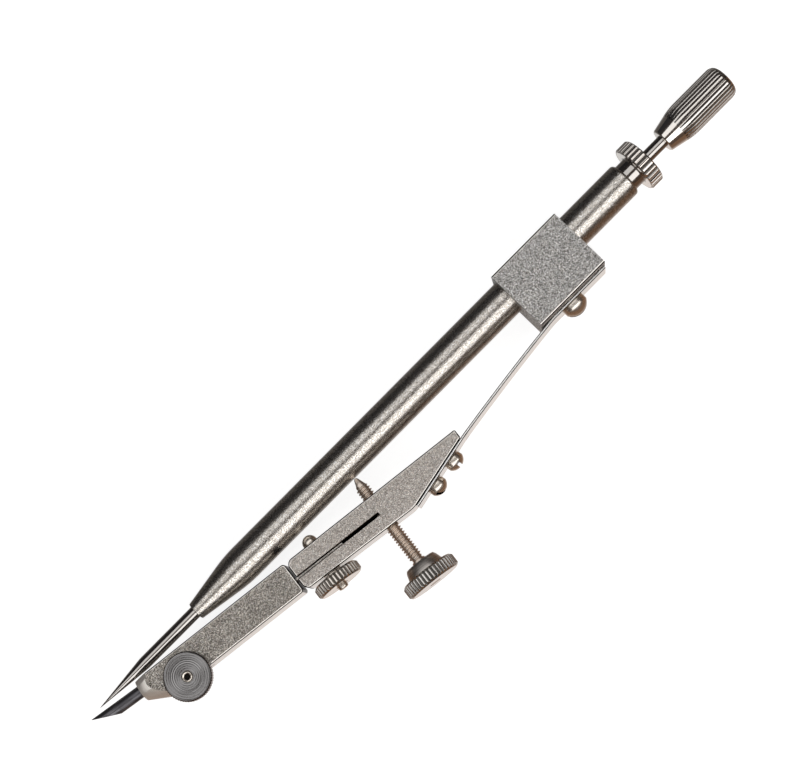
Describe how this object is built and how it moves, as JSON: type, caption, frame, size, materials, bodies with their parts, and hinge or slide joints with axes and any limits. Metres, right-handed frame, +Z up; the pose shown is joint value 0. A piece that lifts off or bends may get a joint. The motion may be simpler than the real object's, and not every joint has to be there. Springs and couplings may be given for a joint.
{
  "type": "drop bow compass",
  "caption": "Drawing compass whose needle rod drops and spins in a tube, with a sprung side arm, an adjusting screw and a clamped pencil leg.",
  "frame": {"origin": "middle of the bounding box at the level of the surface that the compass lies on", "axes": "+X along the tube from the needle point to the handle, +Y from the arm to the tube, +Z up from the surface that it lies on"},
  "size_m": [0.1422, 0.0284, 0.0096],
  "materials": {
    "tube_nickel": "satin nickel plate with a fine grain",
    "matte_nickel": "sand-blasted nickel plate",
    "bright_nickel": "bright nickel plate",
    "screw_nickel": "turned screw, nickel plate worn warm",
    "knob_nickel": "knurled nickel plate",
    "disc_steel": "turned grey steel with ring marks",
    "spring_steel": "polished spring strip",
    "guide_brass": "turned brass",
    "graphite": "dark graphite"
  },
  "bodies": {
    "sleeve": {"sleeve_tube": "tube_nickel", "guide_bush": "guide_brass", "collar_bush": "bright_nickel", "spring_block": "matte_nickel", "block_screw": "screw_nickel", "leaf_spring": "spring_steel"},
    "stop_ring": {"stop_ring": "spring_steel"},
    "rod": {"needle_rod": "bright_nickel", "handle": "bright_nickel"},
    "arm": {"arm": "matte_nickel", "clamp_screw": "screw_nickel", "spring_screw_upper": "screw_nickel", "spring_screw_lower": "screw_nickel"},
    "clamp_nut": {"clamp_nut": "knob_nickel"},
    "adjusting_screw": {"adjusting_screw": "screw_nickel"},
    "knob": {"adjusting_knob": "knob_nickel"},
    "leg": {"pencil_leg": "matte_nickel", "lead_clamp_screw": "screw_nickel"},
    "lead": {"lead": "graphite"},
    "disc_nut": {"lead_clamp_nut": "disc_steel"}
  },
  "joints": [
    {"name": "rod_slide", "type": "slide", "parent": "sleeve", "child": "stop_ring", "axis": [1, 0, 0], "range_m": [-0.0038, 0.006]},
    {"name": "rod_spin", "type": "hinge", "parent": "stop_ring", "child": "rod", "pos_m": [0.03633, 0.00995, 0.0048], "axis": [1, 0, 0], "continuous": true},
    {"name": "arm_open", "type": "hinge", "parent": "sleeve", "child": "arm", "pos_m": [0.01171, 0.00059, 0.0048], "axis": [0, 0, 1], "range_deg": [0, 14.3], "deforming": ["leaf_spring"]},
    {"name": "screw_feed", "type": "slide", "parent": "arm", "child": "adjusting_screw", "axis": [0.1229, 0.9924, 0], "range_m": [0, 0.00684]},
    {"name": "knob_turn", "type": "hinge", "parent": "adjusting_screw", "child": "knob", "pos_m": [-0.01738, -0.01124, 0.0048], "axis": [0.1229, 0.9924, 0], "range_deg": [0, 4918]},
    {"name": "clamp_nut_turn", "type": "hinge", "parent": "arm", "child": "clamp_nut", "pos_m": [-0.02808, -0.00195, 0.0048], "axis": [-0.1229, -0.9924, 0], "range_deg": [0, 720]},
    {"name": "leg_slide", "type": "slide", "parent": "arm", "child": "leg", "axis": [-0.9924, 0.1229, 0], "range_m": [0, 0.008]},
    {"name": "lead_slide", "type": "slide", "parent": "leg", "child": "lead", "axis": [-0.987, 0.1609, 0], "range_m": [-0.001, 0.011]},
    {"name": "disc_nut_turn", "type": "hinge", "parent": "leg", "child": "disc_nut", "pos_m": [-0.05497, 0.00304, 0.0083], "axis": [0, 0, 1], "range_deg": [0, 720]}
  ],
  "couplings": [
    {"joint": "screw_feed", "follows": "arm_open", "m_per_rad": 0.02735},
    {"joint": "knob_turn", "follows": "arm_open", "ratio": 343.69}
  ]
}
